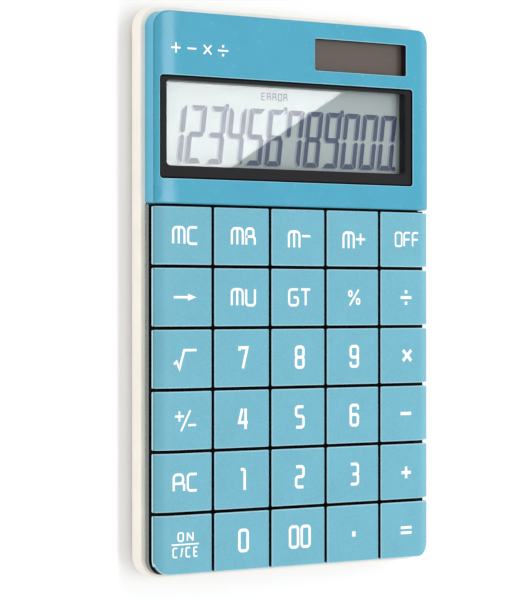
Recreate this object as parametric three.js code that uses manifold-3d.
// Desk calculator with a dual-power display panel and thirty separate sprung keys.
// Millimetres. +X to the right of the keypad, +Y towards the display, +Z out of the key tops.
// z = 0 is the plane the four rubber feet stand on, and x = y = 0 is the middle of the case.

import * as THREE from "three";
import { mergeVertices } from "three/addons/utils/BufferGeometryUtils.js";
import Module from "manifold-3d";

const wasm = await Module();
wasm.setup();

// Overall size and the fits every other size hangs on.
const CASE_WIDTH = 103;
const CASE_LENGTH = 166.5;
const CASE_CORNER = 6.5;
const CASE_SIDE_MARGIN = 1;
const FIT = 0.3;

// Rear case.
const FOOT_PROUD = 0.9;
const FLOOR_T = 1.8;
const WALL_T = 2;
const FLOOR_ROUND = 3.5;
const LIP_ROUND = 0.45;
const STANDOFF_H = 2;
const STANDOFF_R = 1.6;
const FLOOR_FILLET = 1;

// Front frame.
const SKIRT_T = 0.9;
const SKIRT_RISE = 0.2;
const STEP_WALL_T = 1.2;
const BAND_SIDE_MARGIN = 0.6;
const BAND_END_MARGIN = 0.1;

// Stack from the board up to the key tops.
const BOARD_T = 1.2;
const SHEET_T = 0.6;
const DOME_H = 1;
const PLATE_T = 1.8;
const KEY_TRAVEL = 1.1;
const KEY_CAP_H = 2.7;

// Keypad.
const KEY_COLUMNS = 5;
const KEY_ROWS = 6;
const KEY_GAP_X = 1;
const KEY_GAP_Y = 1;
const KEY_SIDE_INSET = 0.7;
const KEY_BOTTOM_INSET = 0.25;
const KEY_TOP_INSET = 0.6;
const KEY_CORNER = 1;
const KEY_END_CORNER = 4.5;
const KEY_ROLL_W = 6;
const KEY_ROLL_DROP = 1.7;
const KEY_SKIN = 1.2;
const KEY_WALL = 2.55;
const KEY_LIFT = 0.2;
const POST_W = 8;
const POST_D = 7;
const DOME_R = 3.2;

// Display panel.
const DISPLAY_LENGTH = 58.05;
const KEYPAD_MARGIN = 1.05;
const PANEL_SIDE_INSET = 1.67;
const PANEL_TOP_INSET = 2.1;
const PANEL_FRONT_STEP = 0.27;
const PANEL_RISE = 0.4;
const PANEL_T = 1.6;
const PANEL_WALL = 1.5;
const PANEL_CORNER = 4.5;
const PANEL_ROLL_W = 7.5;
const PANEL_ROLL_DROP = 1.7;
const PANEL_SKIRT_GAP = 0.9;
const PANEL_INNER_ROLL_DROP = 1.36;
const WINDOW_LEFT = 1.76;
const WINDOW_RIGHT = 6.95;
const WINDOW_TOP = 18.5;
const WINDOW_FRONT = 7.2;
const WINDOW_CORNER = 1;

// Display stack.
const TRAY_T = 1;
const LEDGE_T = 0.5;
const LCD_T = 1.3;
const LENS_T = 0.8;
const BEZEL_RECESS = 0.5;
const BEZEL_LEFT = 1.6;
const BEZEL_RIGHT = 1.9;
const BEZEL_TOP = 1;
const BEZEL_FRONT = 3.5;
const LCD_OVERLAP = 0.6;
const HOLDER_WALL = 0.8;
const HOLDER_LEDGE_W = 0.6;
const ZEBRA_W = 2;
const ZEBRA_INSET = 0.9;
const ZEBRA_END_INSET = 3;

// Solar cell.
const SOLAR_W = 34.4;
const SOLAR_D = 9.7;
const SOLAR_RIGHT = 9.5;
const SOLAR_TOP = 4.9;
const SOLAR_RECESS = 2.7;
const SOLAR_T = 1.1;
const SOLAR_RIM = 1.3;
const SOLAR_COLLAR_T = 1;
const REST_W = 1.2;
const REST_INSET = 2.5;

// Battery, fasteners, feet and small parts.
const CELL_R = 5.8;
const CELL_T = 3.1;
const CELL_Y_INSET = 14;
const DOOR_T = 1.3;
const DOOR_W = 31;
const DOOR_RIM_X = 3.2;
const DOOR_RIM_Y = 2.7;
const DOOR_CORNER = 1;
const DOOR_SCREW_INSET = 5;
const DOOR_SCREW_GAP = 1.1;
const GRIP_W = 0.8;
const GRIP_END = 3;
const WELL_WALL = 2.2;
const DOOR_FRAME_T = 1.5;
const CONTACT_T = 0.3;
const CONTACT_PAD = 6;
const CONTACT_ARM_W = 3;
const CONTACT_LEG_W = 4.8;
const CONTACT_GAP = 0.12;
const BOARD_CELL_GAP = 4.2;
const BOSS_R = 2.5;
const BOSS_BELOW = 1;
const TUBE_WALL = 0.6;
const SCREW_R = 1.1;
const SCREW_HEAD_R = 2.2;
const SCREW_HEAD_H = 1;
const SCREW_INSET = 6.5;
const SCREW_BITE = 0.15;
const RECESS_W = 0.5;
const RECESS_L = 2.4;
const FOOT_R = 4;
const FOOT_RECESS = 0.9;
const FOOT_INSET = 10;
const PEG_R = 1.2;
const PEG_WALL = 1;
const PEG_FRONT_INSET = 2.4;
const PEG_SIDE_INSET = 6.2;
const PEG_BACK_INSET = 11;
const CAPACITOR_R = 1.5;
const CAPACITOR_L = 7;
const CAPACITOR_GAP = 5;
const CHIP_ABOVE_KEYPAD = 14;
const WIRE_R = 0.5;

// Heights that follow from the stack.
const FLOOR_Z = FOOT_PROUD;
const FLOOR_TOP = FLOOR_Z + FLOOR_T;
const BOARD_Z = FLOOR_TOP + STANDOFF_H + FIT;
const BOARD_TOP = BOARD_Z + BOARD_T;
const SHEET_Z = BOARD_TOP + FIT;
const SHEET_TOP = SHEET_Z + SHEET_T;
const DOME_TOP = SHEET_TOP + DOME_H;
const PLATE_Z = DOME_TOP + FIT;
const PLATE_TOP = PLATE_Z + PLATE_T;
const LIP_Z = PLATE_Z - FIT;
const CAP_Z = PLATE_TOP + KEY_TRAVEL + KEY_LIFT;
const CAP_TOP = CAP_Z + KEY_CAP_H;
const PANEL_TOP_Z = CAP_TOP + PANEL_RISE;
const PANEL_UNDER = PANEL_TOP_Z - PANEL_T;
const PANEL_SKIRT_Z = LIP_Z + PANEL_SKIRT_GAP;
const TRAY_TOP = SHEET_Z + TRAY_T;
const HOLDER_Z = TRAY_TOP + FIT;
const LCD_Z = HOLDER_Z + LEDGE_T + FIT;
const LENS_Z = LCD_Z + LCD_T + FIT;
const HOLDER_TOP = LENS_Z + LENS_T;
const BEZEL_Z = HOLDER_TOP + FIT;
const BEZEL_TOP_Z = PANEL_TOP_Z - BEZEL_RECESS;
const SOLAR_TOP_Z = PANEL_TOP_Z - SOLAR_RECESS;
const DOOR_SEAT = FLOOR_Z + DOOR_T + FIT;
const CELL_Z = DOOR_SEAT + 0.15;

// Plan sizes that follow from the case.
const HALF_W = CASE_WIDTH / 2;
const HALF_L = CASE_LENGTH / 2;
const PITCH_X = (CASE_WIDTH - 2 * CASE_SIDE_MARGIN) / KEY_COLUMNS;
const PITCH_Y = (CASE_LENGTH - DISPLAY_LENGTH - KEYPAD_MARGIN) / KEY_ROWS;
const KEYPAD_TOP = HALF_L - DISPLAY_LENGTH;
const KEYPAD_BOTTOM = KEYPAD_TOP - KEY_ROWS * PITCH_Y;
const KEYPAD_HALF_W = PITCH_X * KEY_COLUMNS / 2;
const PANEL_HALF_W = HALF_W - PANEL_SIDE_INSET;
const PANEL_FRONT = KEYPAD_TOP + PANEL_FRONT_STEP;
const PANEL_BACK = HALF_L - PANEL_TOP_INSET;
const INNER_HALF_W = HALF_W - WALL_T;
const INNER_HALF_L = HALF_L - WALL_T;
const SKIRT_HALF_W = INNER_HALF_W - FIT;
const SKIRT_HALF_L = INNER_HALF_L - FIT;
const STEP_WALL_Y = PANEL_FRONT + PANEL_WALL;
const CELL_Y = HALF_L - CELL_Y_INSET;
const DOOR_X0 = -1.5 * PITCH_X + SCREW_HEAD_R + DOOR_SCREW_GAP;
const CELL_X = DOOR_X0 + DOOR_RIM_X + CELL_R;

const WINDOW = {
  x0: -PANEL_HALF_W + WINDOW_LEFT,
  x1: PANEL_HALF_W - WINDOW_RIGHT,
  y0: PANEL_FRONT + WINDOW_FRONT,
  y1: PANEL_BACK - WINDOW_TOP,
};
const SOLAR = {
  x0: PANEL_HALF_W - SOLAR_RIGHT - SOLAR_W,
  x1: PANEL_HALF_W - SOLAR_RIGHT,
  y0: PANEL_BACK - SOLAR_TOP - SOLAR_D,
  y1: PANEL_BACK - SOLAR_TOP,
};
const BEZEL_OUTER = grow(WINDOW, -FIT);
const VIEW = {
  x0: BEZEL_OUTER.x0 + BEZEL_LEFT,
  x1: BEZEL_OUTER.x1 - BEZEL_RIGHT,
  y0: BEZEL_OUTER.y0 + BEZEL_FRONT,
  y1: BEZEL_OUTER.y1 - BEZEL_TOP,
};
const LCD = grow(VIEW, LCD_OVERLAP);
const HOLDER_INNER = grow(LCD, FIT);
const HOLDER_OUTER = grow(HOLDER_INNER, HOLDER_WALL);
const DOOR = {
  x0: DOOR_X0,
  x1: DOOR_X0 + DOOR_W,
  y0: CELL_Y - CELL_R - DOOR_RIM_Y,
  y1: CELL_Y + CELL_R + DOOR_RIM_Y,
};
const DOOR_SCREW_X = DOOR.x1 - DOOR_SCREW_INSET;
const SCREW_SPOTS = [
  [-1.5 * PITCH_X, HALF_L - SCREW_INSET],
  [1.5 * PITCH_X, HALF_L - SCREW_INSET],
  [-1.5 * PITCH_X, KEYPAD_TOP - 2 * PITCH_Y],
  [1.5 * PITCH_X, KEYPAD_TOP - 2 * PITCH_Y],
  [-1.5 * PITCH_X, -HALF_L + SCREW_INSET],
  [1.5 * PITCH_X, -HALF_L + SCREW_INSET],
];
const FOOT_SPOTS = [
  [-HALF_W + FOOT_INSET, HALF_L - FOOT_INSET],
  [HALF_W - FOOT_INSET, HALF_L - FOOT_INSET],
  [-HALF_W + FOOT_INSET, -HALF_L + FOOT_INSET],
  [HALF_W - FOOT_INSET, -HALF_L + FOOT_INSET],
];
const PEG_SPOTS = [
  [-PITCH_X, STEP_WALL_Y + PEG_FRONT_INSET],
  [PITCH_X, STEP_WALL_Y + PEG_FRONT_INSET],
  [-HALF_W + PEG_SIDE_INSET, HALF_L - PEG_BACK_INSET],
  [HALF_W - PEG_SIDE_INSET, HALF_L - PEG_BACK_INSET],
];
const BOARD_BACK = CELL_Y - CELL_R - BOARD_CELL_GAP;

// Rectangles and outlines.

function grow(r, d) {
  return { x0: r.x0 - d, x1: r.x1 + d, y0: r.y0 - d, y1: r.y1 + d };
}

function outline(r, radii) {
  const [a, b, c, d] = Array.isArray(radii) ? radii : [radii, radii, radii, radii];
  const s = new THREE.Shape();
  s.moveTo(r.x0 + a, r.y0);
  s.lineTo(r.x1 - b, r.y0);
  corner(s, r.x1 - b, r.y0 + b, b, -Math.PI / 2);
  s.lineTo(r.x1, r.y1 - c);
  corner(s, r.x1 - c, r.y1 - c, c, 0);
  s.lineTo(r.x0 + d, r.y1);
  corner(s, r.x0 + d, r.y1 - d, d, Math.PI / 2);
  s.lineTo(r.x0, r.y0 + a);
  corner(s, r.x0 + a, r.y0 + a, a, Math.PI);
  return s;
}

function corner(shape, x, y, r, start) {
  if (r > 0) {
    shape.absarc(x, y, r, start, start + Math.PI / 2, false);
  }
}

// Solids.

function solid(geometry) {
  const g = geometry.clone();
  g.deleteAttribute("normal");
  g.deleteAttribute("uv");
  const m = mergeVertices(g, 1e-4);
  const vertProperties = new Float32Array(m.attributes.position.array);
  const triVerts = new Uint32Array(m.index.array);
  return new wasm.Manifold(new wasm.Mesh({ numProp: 3, vertProperties, triVerts }));
}

function slab(shape, z0, z1, segments = 4) {
  const settings = { depth: z1 - z0, bevelEnabled: false, curveSegments: segments };
  const g = new THREE.ExtrudeGeometry(shape, settings);
  g.translate(0, 0, z0);
  return solid(g);
}

function rounded(shape, z0, z1, r, segments, steps) {
  const g = new THREE.ExtrudeGeometry(shape, {
    depth: z1 - z0 - 2 * r,
    bevelEnabled: true,
    bevelThickness: r,
    bevelSize: r,
    bevelOffset: -r,
    bevelSegments: steps,
    curveSegments: segments,
  });
  g.translate(0, 0, z0 + r);
  return solid(g);
}

function box(r, z0, z1) {
  const g = new THREE.BoxGeometry(r.x1 - r.x0, r.y1 - r.y0, z1 - z0);
  g.translate((r.x0 + r.x1) / 2, (r.y0 + r.y1) / 2, (z0 + z1) / 2);
  return solid(g);
}

function block(x, y, w, d, z0, z1) {
  return box({ x0: x - w / 2, x1: x + w / 2, y0: y - d / 2, y1: y + d / 2 }, z0, z1);
}

function rod(x, y, r, z0, z1, sides = 16) {
  const g = new THREE.CylinderGeometry(r, r, z1 - z0, sides);
  g.rotateX(Math.PI / 2);
  g.translate(x, y, (z0 + z1) / 2);
  return solid(g);
}

function turned(points, x, y, z, sides = 16) {
  const g = new THREE.LatheGeometry(points.map(([r, h]) => new THREE.Vector2(r, h)), sides);
  g.rotateX(Math.PI / 2);
  g.translate(x, y, z);
  return solid(g);
}

function joined(parts) {
  return parts.reduce((a, b) => a.add(b));
}

function cut(body, tools) {
  return tools.reduce((a, b) => a.subtract(b), body);
}

function mesh(name, body, material) {
  const m = body.getMesh();
  const g = new THREE.BufferGeometry();
  const positions = new Float32Array(m.vertProperties);
  g.setAttribute("position", new THREE.BufferAttribute(positions, 3));
  g.setIndex(new THREE.BufferAttribute(new Uint32Array(m.triVerts), 1));
  g.computeVertexNormals();
  const out = new THREE.Mesh(g, material.clone());
  out.name = name;
  return out;
}

function plastic(colour, roughness) {
  return new THREE.MeshStandardMaterial({ color: colour, roughness, metalness: 0 });
}

function metal(colour, roughness) {
  return new THREE.MeshStandardMaterial({ color: colour, roughness, metalness: 1 });
}

const CREAM = plastic(0xfaf5ea, 0.35);
const GREY = plastic(0x7c8688, 0.5);
const CYAN = plastic(0x5eb4cd, 0.3);
const KEY_BLUE = plastic(0x7dbbce, 0.3);
const BLACK = plastic(0x2c2b2e, 0.35);
const DARK_RUBBER = plastic(0x2b2d30, 0.85);
const SHEET_RUBBER = plastic(0xb9bcbc, 0.8);
const BOARD_GREEN = plastic(0x2f6b3f, 0.45);
const SOLAR_BROWN = plastic(0x6a645f, 0.25);
const RED = plastic(0xb3312a, 0.5);
const SLEEVE_BLUE = plastic(0x23304a, 0.4);
const LCD_GREY = plastic(0xb9c3b8, 0.3);
const LENS_CLEAR = new THREE.MeshStandardMaterial({
  color: 0xf4f8f8,
  roughness: 0.05,
  metalness: 0,
  transparent: true,
  opacity: 0.35,
});
const STEEL = metal(0xb4b6b8, 0.35);
const NICKEL = metal(0xc9c6bd, 0.3);

// Rear case: a tray with rounded floor edges, screw tubes, standoffs and a battery well.

function rearCase() {
  const plan = { x0: -HALF_W, x1: HALF_W, y0: -HALF_L, y1: HALF_L };
  const shape = outline(plan, CASE_CORNER);
  const lower = rounded(shape, FLOOR_Z, LIP_Z + 2 * FLOOR_ROUND, FLOOR_ROUND, 5, 4);
  const upper = rounded(shape, FLOOR_Z - 4, LIP_Z, LIP_ROUND, 5, 2);
  const inner = outline(grow(plan, -WALL_T), CASE_CORNER - WALL_T);
  const hollow = rounded(inner, FLOOR_TOP, LIP_Z + 9, FLOOR_FILLET, 4, 1);
  const shell = lower.intersect(upper).subtract(hollow);
  const body = joined([shell, ...screwTubes(), ...standoffs(), batteryWell()]);
  return cut(body, [...screwHoles(), ...footRecesses(), ...batteryCuts()]);
}

function screwTubes() {
  const r = BOSS_R + TUBE_WALL;
  return SCREW_SPOTS.map(([x, y]) => rod(x, y, r, FLOOR_Z + 0.2, BOARD_Z - BOSS_BELOW, 12));
}

function screwHoles() {
  const holes = [];
  for (const [x, y] of SCREW_SPOTS) {
    holes.push(rod(x, y, SCREW_HEAD_R + FIT, FLOOR_Z - 1, FLOOR_Z + SCREW_HEAD_H + FIT, 14));
    holes.push(rod(x, y, SCREW_R + FIT, FLOOR_Z, BOARD_Z, 10));
  }
  return holes;
}

function standoffs() {
  const posts = [];
  for (const x of [-2, 0, 2]) {
    for (const row of [1, 3, 5]) {
      const y = KEYPAD_TOP - row * PITCH_Y;
      posts.push(rod(x * PITCH_X, y, STANDOFF_R, FLOOR_Z + 0.2, BOARD_Z - FIT, 8));
    }
  }
  return posts;
}

function batteryWell() {
  const pad = box(grow(DOOR, DOOR_FRAME_T), FLOOR_Z + 0.3, DOOR_SEAT + 0.9);
  const side = 2 * (CELL_R + WELL_WALL);
  const wall = block(CELL_X, CELL_Y, side, side, FLOOR_Z + 0.3, CELL_Z + CELL_T);
  const boss = rod(DOOR_SCREW_X, CELL_Y, BOSS_R, FLOOR_Z + 0.3, SHEET_Z - 2 * FIT);
  return joined([pad, wall, boss]);
}

function batteryCuts() {
  const wellRadius = CELL_R + FIT;
  return [
    box(grow(DOOR, FIT), FLOOR_Z - 1, DOOR_SEAT),
    rod(CELL_X, CELL_Y, wellRadius + 0.05, FLOOR_Z, LIP_Z, 24),
    block(CELL_X + wellRadius, CELL_Y, 2.6, CONTACT_LEG_W + 0.8, DOOR_SEAT - 0.2, LIP_Z),
    rod(DOOR_SCREW_X, CELL_Y, SCREW_R + FIT, FLOOR_Z, SHEET_Z - 1.5),
  ];
}

function footRecesses() {
  return FOOT_SPOTS.map(([x, y]) => rod(x, y, FOOT_R + FIT, FLOOR_Z - 1, FLOOR_Z + FOOT_RECESS, 20));
}

// Front frame: the grey plate the keys slide in, stepping down to a tray under the display.

function frontFrame() {
  const skirtPlan = { x0: -SKIRT_HALF_W, x1: SKIRT_HALF_W, y0: -SKIRT_HALF_L, y1: SKIRT_HALF_L };
  const skirtCorner = CASE_CORNER - WALL_T - FIT;
  const skirt = slab(outline(skirtPlan, skirtCorner), SHEET_Z, PLATE_Z + SKIRT_RISE);
  const body = joined([skirt, keypadPlate(), panelTongue()]);
  const hollows = [keypadHollow(skirtPlan, skirtCorner), displayHollow(skirtPlan, skirtCorner)];
  const hollowed = cut(body, hollows);
  const tray = joined([hollowed, ...frameBosses(), ...pegSockets(), ...solarRests()]);
  return cut(tray, [...postHoles(), ...bossHoles(), ...socketHoles(), zebraSlot()]);
}

// The flat band the keys stand over.
function keypadPlate() {
  const plan = {
    x0: -KEYPAD_HALF_W + BAND_SIDE_MARGIN,
    x1: KEYPAD_HALF_W - BAND_SIDE_MARGIN,
    y0: KEYPAD_BOTTOM + BAND_END_MARGIN,
    y1: PANEL_FRONT - FIT,
  };
  return slab(outline(plan, [KEY_END_CORNER, KEY_END_CORNER, 0, 0]), PLATE_Z, PLATE_TOP);
}

// The end of the band, which runs in under the panel between its side walls.
function panelTongue() {
  const half = PANEL_HALF_W - PANEL_WALL - FIT;
  const plan = { x0: -half, x1: half, y0: PANEL_FRONT - 1, y1: STEP_WALL_Y + FIT };
  return box(plan, PLATE_Z, PLATE_TOP);
}

function keypadHollow(plan, r) {
  const inside = grow(plan, -SKIRT_T);
  inside.y1 = STEP_WALL_Y - STEP_WALL_T;
  return slab(outline(inside, [r - SKIRT_T, r - SKIRT_T, 0, 0]), SHEET_Z - 1, PLATE_Z);
}

function displayHollow(plan, r) {
  const inside = grow(plan, -SKIRT_T);
  inside.y0 = STEP_WALL_Y + FIT;
  return slab(outline(inside, [0, 0, r - SKIRT_T, r - SKIRT_T]), TRAY_TOP, PLATE_TOP + 1);
}

function frameBosses() {
  return SCREW_SPOTS.map(([x, y]) => {
    const top = y > KEYPAD_TOP ? TRAY_TOP : PLATE_TOP;
    return rod(x, y, BOSS_R, BOARD_Z - BOSS_BELOW + FIT, top, 12);
  });
}

function bossHoles() {
  return SCREW_SPOTS.map(([x, y]) => rod(x, y, SCREW_R + SCREW_BITE, BOARD_Z - 1, BOARD_Z + 2, 10));
}

function pegSockets() {
  const r = PEG_R + FIT + PEG_WALL;
  return PEG_SPOTS.map(([x, y]) => rod(x, y, r, SHEET_Z, PANEL_SKIRT_Z + 1.5, 12));
}

function socketHoles() {
  return PEG_SPOTS.map(([x, y]) => rod(x, y, PEG_R + FIT, TRAY_TOP, PANEL_SKIRT_Z + 2, 12));
}

function solarRests() {
  const rests = [];
  const y = (SOLAR.y0 + SOLAR.y1) / 2;
  for (const x of [SOLAR.x0 + REST_INSET, SOLAR.x1 - REST_INSET]) {
    rests.push(block(x, y, REST_W, SOLAR_D, TRAY_TOP - 0.2, SOLAR_TOP_Z - SOLAR_T - FIT));
  }
  return rests;
}

function postHoles() {
  const w = POST_W + 2 * FIT;
  const d = POST_D + 2 * FIT;
  return keySpots().map((key) => block(key.px, key.py, w, d, PLATE_Z - 1, PLATE_TOP + 1));
}

function zebraRect() {
  return {
    x0: LCD.x0 + ZEBRA_END_INSET,
    x1: LCD.x1 - ZEBRA_END_INSET,
    y0: LCD.y0 + ZEBRA_INSET,
    y1: LCD.y0 + ZEBRA_INSET + ZEBRA_W,
  };
}

function zebraSlot() {
  return box(grow(zebraRect(), FIT), SHEET_Z - 1, TRAY_TOP + 1);
}

// Keys.

function keySpots() {
  const spots = [];
  for (let row = 0; row < KEY_ROWS; row += 1) {
    for (let column = 0; column < KEY_COLUMNS; column += 1) {
      spots.push(keySpot(column, row));
    }
  }
  return spots;
}

function keySpot(column, row) {
  const left = -KEYPAD_HALF_W + column * PITCH_X;
  const top = KEYPAD_TOP - row * PITCH_Y;
  const last = KEY_COLUMNS - 1;
  const cap = {
    x0: left + (column === 0 ? KEY_SIDE_INSET : KEY_GAP_X / 2),
    x1: left + PITCH_X - (column === last ? KEY_SIDE_INSET : KEY_GAP_X / 2),
    y0: top - PITCH_Y + (row === KEY_ROWS - 1 ? KEY_BOTTOM_INSET : KEY_GAP_Y / 2),
    y1: top - (row === 0 ? KEY_TOP_INSET : KEY_GAP_Y / 2),
  };
  return { column, row, cap, px: left + PITCH_X / 2, py: top - PITCH_Y / 2 };
}

function rollPoints(width, drop) {
  const radius = (width * width + drop * drop) / (2 * drop);
  const points = [];
  for (let i = 0; i <= 4; i += 1) {
    const x = width * (1 - i / 4);
    points.push([x, Math.sqrt(radius * radius - x * x) - radius]);
  }
  return points;
}

function rolledProfile(x0, x1, z0, z1, roll) {
  const s = new THREE.Shape();
  s.moveTo(x0, z0);
  if (roll.left) {
    for (const [dx, dz] of rollPoints(roll.width, roll.drop)) {
      s.lineTo(x0 + roll.width - dx, z1 + dz);
    }
  } else {
    s.lineTo(x0, z1);
  }
  if (roll.right) {
    for (const [dx, dz] of rollPoints(roll.width, roll.drop).reverse()) {
      s.lineTo(x1 - roll.width + dx, z1 + dz);
    }
  } else {
    s.lineTo(x1, z1);
  }
  s.lineTo(x1, z0);
  s.closePath();
  return s;
}

function acrossY(shape, y0, y1) {
  const g = new THREE.ExtrudeGeometry(shape, { depth: y1 - y0, bevelEnabled: false });
  g.rotateX(Math.PI / 2);
  g.translate(0, y1, 0);
  return solid(g);
}

function keyBody(key) {
  const { cap, column, row } = key;
  const last = KEY_COLUMNS - 1;
  const roll = {
    left: column === 0,
    right: column === last,
    width: KEY_ROLL_W,
    drop: KEY_ROLL_DROP,
  };
  const bottom = row === KEY_ROWS - 1;
  const leftCorner = bottom && column === 0 ? KEY_END_CORNER : KEY_CORNER;
  const rightCorner = bottom && column === last ? KEY_END_CORNER : KEY_CORNER;
  const profile = rolledProfile(cap.x0, cap.x1, CAP_Z, CAP_TOP, roll);
  const radii = [leftCorner, rightCorner, KEY_CORNER, KEY_CORNER];
  const prism = slab(outline(cap, radii), CAP_Z, CAP_TOP, 2);
  const outer = acrossY(profile, cap.y0, cap.y1).intersect(prism);
  const pocket = box(grow(cap, -KEY_WALL), CAP_Z - 1, CAP_TOP - KEY_SKIN - KEY_ROLL_DROP / 2);
  const post = block(key.px, key.py, POST_W, POST_D, PLATE_Z, CAP_TOP - KEY_SKIN);
  return outer.subtract(pocket).add(post);
}

const KEY_NAMES = [
  ["mc", "mr", "m_minus", "m_plus", "off"],
  ["arrow", "mu", "gt", "percent", "divide"],
  ["root", "7", "8", "9", "multiply"],
  ["sign", "4", "5", "6", "minus"],
  ["ac", "1", "2", "3", "plus"],
  ["on_c", "0", "00", "point", "equals"],
];

// Display panel, bezel, lens and the parts behind them.

function displayPanel() {
  const plan = { x0: -PANEL_HALF_W, x1: PANEL_HALF_W, y0: PANEL_FRONT, y1: PANEL_BACK };
  const radii = [KEY_CORNER, KEY_CORNER, PANEL_CORNER, PANEL_CORNER];
  const roll = { left: true, right: true, width: PANEL_ROLL_W, drop: PANEL_ROLL_DROP };
  const profile = rolledProfile(plan.x0, plan.x1, PANEL_SKIRT_Z, PANEL_TOP_Z, roll);
  const prism = slab(outline(plan, radii), PANEL_SKIRT_Z, PANEL_TOP_Z, 5);
  const outer = acrossY(profile, plan.y0, plan.y1).intersect(prism);
  const hollow = panelHollow(plan);
  const collar = box(grow(SOLAR, SOLAR_COLLAR_T), SOLAR_TOP_Z + FIT, PANEL_UNDER + 0.4);
  const pegs = PEG_SPOTS.map(([x, y]) => rod(x, y, PEG_R, TRAY_TOP + FIT, PANEL_UNDER + 0.4, 12));
  const body = joined([outer.subtract(hollow), collar, ...pegs]);
  const window = slab(outline(WINDOW, WINDOW_CORNER), TRAY_TOP, PANEL_TOP_Z + 1, 3);
  const solar = slab(outline(SOLAR, WINDOW_CORNER / 2), TRAY_TOP, PANEL_TOP_Z + 1, 2);
  return cut(body, [window, solar, frontStep(plan)]);
}

function panelHollow(plan) {
  const inside = grow(plan, -PANEL_WALL);
  const corner = PANEL_CORNER - PANEL_WALL;
  const prism = slab(outline(inside, [0, 0, corner, corner]), PANEL_SKIRT_Z - 1, PANEL_UNDER);
  const roll = {
    left: true,
    right: true,
    width: PANEL_ROLL_W - PANEL_WALL,
    drop: PANEL_INNER_ROLL_DROP,
  };
  const profile = rolledProfile(inside.x0, inside.x1, PANEL_SKIRT_Z - 1, PANEL_UNDER, roll);
  return acrossY(profile, inside.y0, inside.y1).intersect(prism);
}

function frontStep(plan) {
  const under = grow(plan, -PANEL_WALL);
  under.y0 = plan.y0 - 1;
  under.y1 = STEP_WALL_Y + 2 * FIT;
  return box(under, PANEL_SKIRT_Z - 1, PLATE_TOP + FIT);
}

function displayBezel() {
  const outer = slab(outline(BEZEL_OUTER, WINDOW_CORNER - FIT), BEZEL_Z, BEZEL_TOP_Z, 3);
  const inner = slab(outline(VIEW, 0.4), BEZEL_Z - 1, BEZEL_TOP_Z + 1, 2);
  return outer.subtract(inner);
}

function lcdHolder() {
  const wall = box(HOLDER_OUTER, HOLDER_Z, HOLDER_TOP);
  const pocket = box(HOLDER_INNER, HOLDER_Z + LEDGE_T, HOLDER_TOP + 1);
  const through = box(grow(LCD, -HOLDER_LEDGE_W), HOLDER_Z - 1, HOLDER_TOP);
  return cut(wall, [pocket, through]);
}

function solarCell() {
  const plan = grow(SOLAR, SOLAR_RIM);
  return box(plan, SOLAR_TOP_Z - SOLAR_T, SOLAR_TOP_Z);
}

// A solid wire that follows a curve.
function wire(points) {
  const path = new THREE.CatmullRomCurve3(points.map((p) => new THREE.Vector3(...p)));
  const section = [];
  for (let i = 0; i < 8; i += 1) {
    const angle = (i * Math.PI) / 4;
    section.push(new THREE.Vector2(WIRE_R * Math.cos(angle), WIRE_R * Math.sin(angle)));
  }
  const settings = { steps: 8, bevelEnabled: false, extrudePath: path };
  return solid(new THREE.ExtrudeGeometry(new THREE.Shape(section), settings));
}

// The two solar leads run side by side from the cell down to the tray.
function solarWire(x) {
  const top = SOLAR_TOP_Z - SOLAR_T - FIT - WIRE_R;
  const low = TRAY_TOP + FIT + WIRE_R;
  return wire([
    [x, SOLAR.y0 + 3, top],
    [x, SOLAR.y0 + 1, top - 0.4],
    [x, SOLAR.y0 - 0.6, low + 0.8],
    [x, LCD.y1 + 2.6, low],
  ]);
}

// Board and what sits on it.

function circuitBoard() {
  const plan = {
    x0: -SKIRT_HALF_W + FIT,
    x1: SKIRT_HALF_W - FIT,
    y0: -SKIRT_HALF_L + FIT,
    y1: BOARD_BACK,
  };
  const corner = CASE_CORNER - WALL_T - FIT;
  const board = slab(outline(plan, [corner, corner, 1, 1]), BOARD_Z, BOARD_TOP);
  const holes = SCREW_SPOTS.map(([x, y]) => rod(x, y, BOSS_R + FIT, BOARD_Z - 1, BOARD_TOP + 1, 12));
  return cut(board, holes);
}

function rubberKeypad() {
  const margin = SKIRT_T + 2 * FIT;
  const plan = {
    x0: -SKIRT_HALF_W + margin,
    x1: SKIRT_HALF_W - margin,
    y0: -SKIRT_HALF_L + margin,
    y1: STEP_WALL_Y - STEP_WALL_T - FIT,
  };
  const corner = CASE_CORNER - WALL_T - FIT - 1;
  const sheet = slab(outline(plan, [corner, corner, 0.5, 0.5]), SHEET_Z, SHEET_TOP, 3);
  const domes = keySpots().map((key) => dome(key.px, key.py));
  const holes = SCREW_SPOTS.map(([x, y]) => rod(x, y, BOSS_R + FIT, SHEET_Z - 1, SHEET_TOP + 1, 12));
  return cut(joined([sheet, ...domes]), holes);
}

function dome(x, y) {
  const points = [
    [0, -0.3],
    [DOME_R, -0.3],
    [DOME_R, 0],
    [DOME_R - 0.9, DOME_H],
    [0, DOME_H],
  ];
  return turned(points, x, y, SHEET_TOP, 8);
}

function chipBlob() {
  const points = [
    [0, -1.5],
    [2.4, -1.3],
    [4, -0.7],
    [4.5, 0],
    [0, 0],
  ];
  return turned(points, 0, KEYPAD_TOP + CHIP_ABOVE_KEYPAD, BOARD_Z - FIT, 16);
}

function capacitor() {
  const g = new THREE.CylinderGeometry(CAPACITOR_R, CAPACITOR_R, CAPACITOR_L, 16);
  g.rotateZ(Math.PI / 2);
  const x = DOOR.x1 + CAPACITOR_GAP + CAPACITOR_L / 2;
  g.translate(x, CELL_Y, FLOOR_TOP + FIT + CAPACITOR_R);
  return solid(g);
}

// Battery compartment.

function batteryCell() {
  const r = CELL_R;
  const t = CELL_T;
  const points = [
    [0, 0],
    [r - 0.3, 0],
    [r, 0.3],
    [r, t - 0.9],
    [r - 1, t - 0.4],
    [r - 1, t],
    [0, t],
  ];
  return turned(points, CELL_X, CELL_Y, CELL_Z, 24);
}

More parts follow.
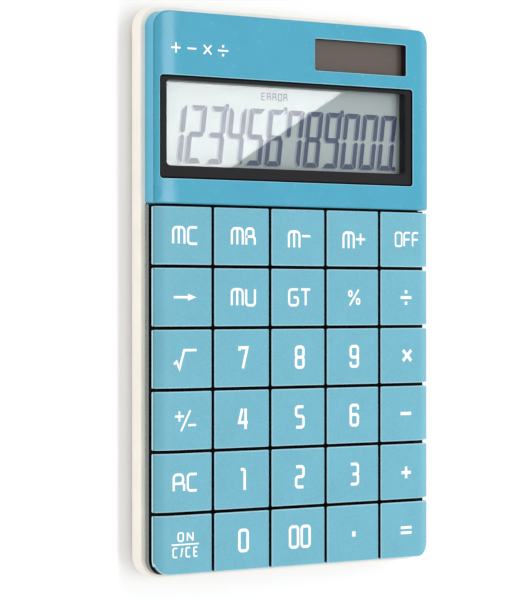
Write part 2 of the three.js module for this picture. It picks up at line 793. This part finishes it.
function contactNegative() {
  const z = CELL_Z + CELL_T + CONTACT_GAP;
  const pad = block(CELL_X, CELL_Y, CONTACT_PAD, CONTACT_PAD, z, z + CONTACT_T);
  const half = CONTACT_ARM_W / 2;
  const plan = { x0: CELL_X - half, x1: CELL_X + half, y0: BOARD_BACK + FIT, y1: CELL_Y };
  return joined([pad, box(plan, z, z + CONTACT_T)]);
}

function contactPositive() {
  const x = CELL_X + CELL_R + FIT;
  const z = CELL_Z + CELL_T + CONTACT_GAP;
  const half = CONTACT_LEG_W / 2;
  const leg = { x0: x, x1: x + CONTACT_T, y0: CELL_Y - half, y1: CELL_Y + half };
  const foot = { x0: x, x1: x + 4, y0: CELL_Y - half, y1: CELL_Y + half };
  const tail = { x0: x + 2, x1: x + 4, y0: BOARD_BACK + FIT, y1: CELL_Y };
  const flats = [foot, tail].map((plan) => box(plan, z, z + CONTACT_T));
  return joined([box(leg, CELL_Z, z + CONTACT_T), ...flats]);
}

function batteryDoor() {
  const lid = slab(outline(DOOR, DOOR_CORNER), FLOOR_Z, FLOOR_Z + DOOR_T, 3);
  const hole = rod(DOOR_SCREW_X, CELL_Y, SCREW_R + FIT, FLOOR_Z - 1, DOOR_SEAT, 12);
  const sink = rod(DOOR_SCREW_X, CELL_Y, SCREW_HEAD_R + FIT, FLOOR_Z - 1, FLOOR_Z + 0.6, 16);
  const length = DOOR.y1 - DOOR.y0 - 2 * GRIP_END;
  const grip = block(DOOR.x0 + 2.2, CELL_Y, GRIP_W, length, FLOOR_Z - 1, FLOOR_Z + 0.4);
  return cut(lid, [hole, sink, grip]);
}

function screw(x, y, headZ, headH, tip) {
  const r = SCREW_R;
  const points = [
    [0, 0],
    [SCREW_HEAD_R - 0.3, 0],
    [SCREW_HEAD_R, 0.3],
    [SCREW_HEAD_R, headH],
    [r, headH],
    [r, tip - 0.8],
    [0, tip],
  ];
  const body = turned(points, x, y, headZ, 12);
  const slotA = block(x, y, RECESS_L, RECESS_W, headZ - 1, headZ + 0.45);
  const slotB = block(x, y, RECESS_W, RECESS_L, headZ - 1, headZ + 0.45);
  return cut(body, [slotA, slotB]);
}

function foot(x, y) {
  const points = [
    [0, 0],
    [FOOT_R - 0.4, 0],
    [FOOT_R, 0.4],
    [FOOT_R, FOOT_PROUD + FOOT_RECESS - 0.2],
    [0, FOOT_PROUD + FOOT_RECESS - 0.2],
  ];
  return turned(points, x, y, 0, 20);
}

// Assembly.

const part = new THREE.Group();
part.name = "desk_calculator";

function place(name, body, material) {
  part.add(mesh(name, body, material));
}

place("rear_case", rearCase(), CREAM);
place("front_frame", frontFrame(), GREY);
place("display_panel", displayPanel(), CYAN);
place("display_bezel", displayBezel(), BLACK);
place("display_lens", box(LCD, LENS_Z, LENS_Z + LENS_T), LENS_CLEAR);
place("lcd_panel", box(LCD, LCD_Z, LCD_Z + LCD_T), LCD_GREY);
place("lcd_holder", lcdHolder(), BLACK);
place("zebra_strip", box(zebraRect(), SHEET_Z, LCD_Z - FIT), DARK_RUBBER);
place("solar_cell", solarCell(), SOLAR_BROWN);
place("solar_wire_pos", solarWire(SOLAR.x0 + 7), RED);
place("solar_wire_neg", solarWire(SOLAR.x0 + 11), BLACK);
place("circuit_board", circuitBoard(), BOARD_GREEN);
place("chip_blob", chipBlob(), BLACK);
place("capacitor", capacitor(), SLEEVE_BLUE);
place("rubber_keypad", rubberKeypad(), SHEET_RUBBER);
for (const key of keySpots()) {
  place(`key_${KEY_NAMES[key.row][key.column]}`, keyBody(key), KEY_BLUE);
}
place("battery_cell", batteryCell(), NICKEL);
place("battery_contact_neg", contactNegative(), NICKEL);
place("battery_contact_pos", contactPositive(), NICKEL);
place("battery_door", batteryDoor(), CREAM);
place("door_screw", screw(DOOR_SCREW_X, CELL_Y, FLOOR_Z - 0.1, 0.5, 3), STEEL);
SCREW_SPOTS.forEach(([x, y], i) => {
  const z = FLOOR_Z + 0.1;
  place(`case_screw_${i + 1}`, screw(x, y, z, SCREW_HEAD_H, BOARD_Z + 1.7 - z), STEEL);
});
FOOT_SPOTS.forEach(([x, y], i) => {
  place(`foot_${i + 1}`, foot(x, y), DARK_RUBBER);
});

export default part;
